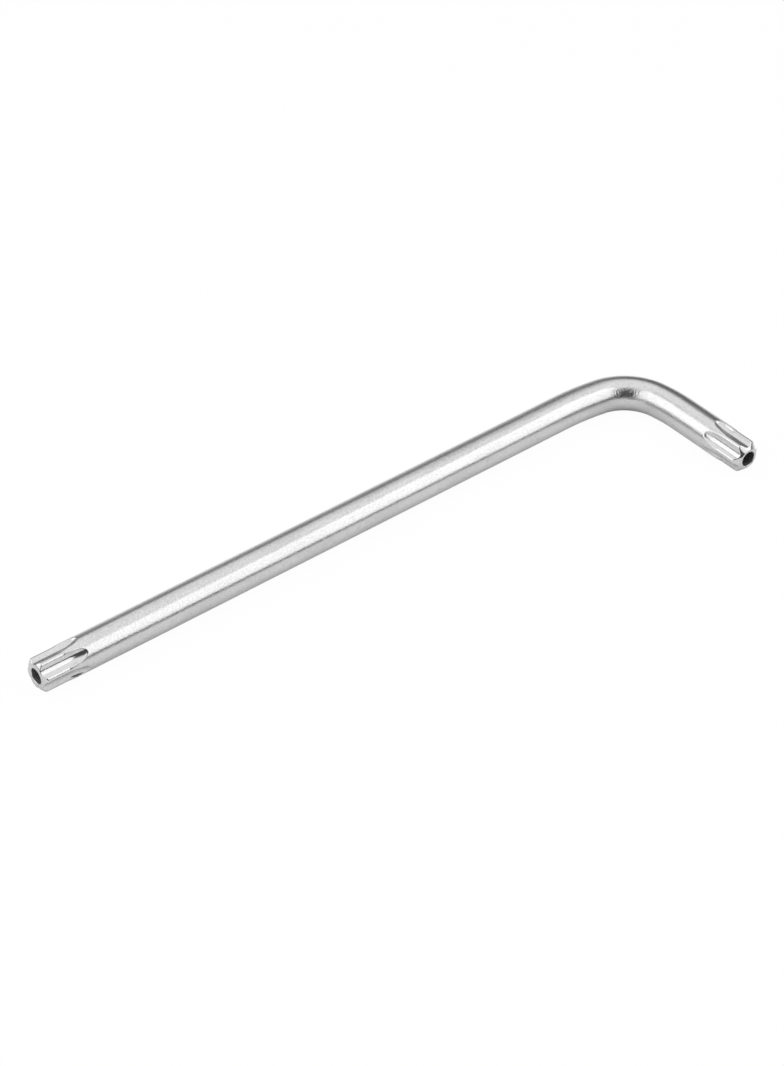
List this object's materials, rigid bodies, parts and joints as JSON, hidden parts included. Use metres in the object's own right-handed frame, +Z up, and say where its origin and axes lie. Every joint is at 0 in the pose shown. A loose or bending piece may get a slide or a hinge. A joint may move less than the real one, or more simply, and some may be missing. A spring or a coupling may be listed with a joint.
{
  "type": "star-drive key",
  "caption": "L-shaped star-drive key bent from round plated steel rod, with a lobed star tip and a blind pin hole at the end of the long arm and of the short arm.",
  "frame": {"origin": "on the surface that the key lies on, under the middle of its outline", "axes": "+X along the long arm, from its star tip towards the bend; -Y along the short arm, towards its star tip; +Z up, square to the plane of the arms"},
  "size_m": [0.144, 0.037, 0.0068],
  "materials": {
    "plated_steel": "satin nickel plating over drawn steel rod, with a fine lengthwise grain"
  },
  "bodies": {
    "root": {"star_key": "plated_steel"}
  },
  "joints": []
}
